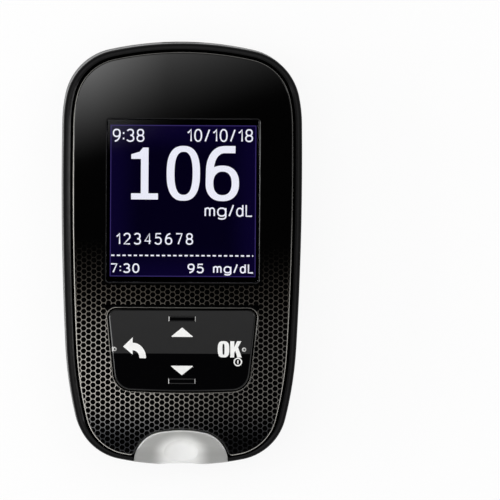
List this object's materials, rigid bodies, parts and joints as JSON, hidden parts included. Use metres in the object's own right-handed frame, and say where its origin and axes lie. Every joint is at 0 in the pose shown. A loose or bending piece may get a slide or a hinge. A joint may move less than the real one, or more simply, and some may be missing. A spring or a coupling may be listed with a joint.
{
  "type": "blood glucose meter",
  "caption": "Handheld blood glucose meter with an arched glossy front, display window, rocking key plate, arched test strip port, sliding strip ejector and hinged battery door.",
  "frame": {"origin": "centre of the outline on the plane of the flat back, on which the meter lies", "axes": "+Z out of the display, +Y towards the USB end, +X to the right as the display is read"},
  "size_m": [0.0458, 0.081, 0.02],
  "materials": {
    "case_gloss": "high-gloss black",
    "case_matte": "fine-grained black",
    "plate_gloss": "high-gloss black with a printed lattice",
    "window_clear": "clear hard-coated",
    "port_translucent": "satin translucent light grey",
    "key_gloss": "gloss black with white print",
    "silicone_grey": "silicone",
    "frame_white": "white moulded",
    "light_guide": "clear light guide",
    "display_glass": "dark liquid-crystal cell",
    "flex_amber": "polyimide film",
    "board_green": "solder-masked",
    "chip_black": "moulded",
    "component_tan": "ceramic",
    "connector_natural": "glass-filled",
    "spring_steel": "bright rolled",
    "screw_steel": "black zinc",
    "contact_gold": "gold flash",
    "socket_steel": "plated",
    "cell_steel": "nickel-plated",
    "lamp_white": "lamp lens"
  },
  "bodies": {
    "case": {"front_case": "case_gloss", "rear_case": "case_matte", "face_plate": "plate_gloss", "display_window": "window_clear", "port_cover": "port_translucent", "case_screws": "screw_steel", "lcd_glass": "display_glass", "backlight": "light_guide", "lcd_frame": "frame_white", "display_flex": "flex_amber", "key_bracket": "spring_steel", "key_mat": "silicone_grey", "key_domes": "spring_steel", "main_board": "board_green", "circuit_chips": "chip_black", "small_components": "component_tan", "beeper": "chip_black", "usb_shell": "socket_steel", "usb_tongue": "chip_black", "strip_connector": "connector_natural", "strip_contacts": "contact_gold", "port_lights": "lamp_white", "ejector_spring": "spring_steel", "battery_cell_upper": "cell_steel", "battery_cell_lower": "cell_steel", "battery_contact_negative": "spring_steel", "battery_contact_positive": "spring_steel"},
    "key_cross": {"key_cross": "frame_white"},
    "key_plate": {"key_plate": "key_gloss"},
    "battery_door": {"battery_door": "case_matte"},
    "ejector": {"ejector_button": "case_matte", "ejector_carriage": "connector_natural"}
  },
  "joints": [
    {"name": "key_rock_up_down", "type": "hinge", "parent": "case", "child": "key_cross", "pos_m": [0, -0.01835, 0.0129], "axis": [1, 0, 0], "range_deg": [-1.8, 1.8], "stiffness_Nm_per_rad": 0.15},
    {"name": "key_rock_left_right", "type": "hinge", "parent": "key_cross", "child": "key_plate", "pos_m": [0, -0.01835, 0.0129], "axis": [0, 1, 0], "range_deg": [-1, 1], "stiffness_Nm_per_rad": 0.3},
    {"name": "battery_door_hinge", "type": "hinge", "parent": "case", "child": "battery_door", "pos_m": [0, 0.0328, 0.00165], "axis": [1, 0, 0], "range_deg": [0, 95]},
    {"name": "ejector_slide", "type": "slide", "parent": "case", "child": "ejector", "axis": [0, -1, 0], "range_m": [0, 0.005], "stiffness_N_per_m": 120, "springref_m": -0.002, "deforming": ["ejector_spring"]}
  ]
}
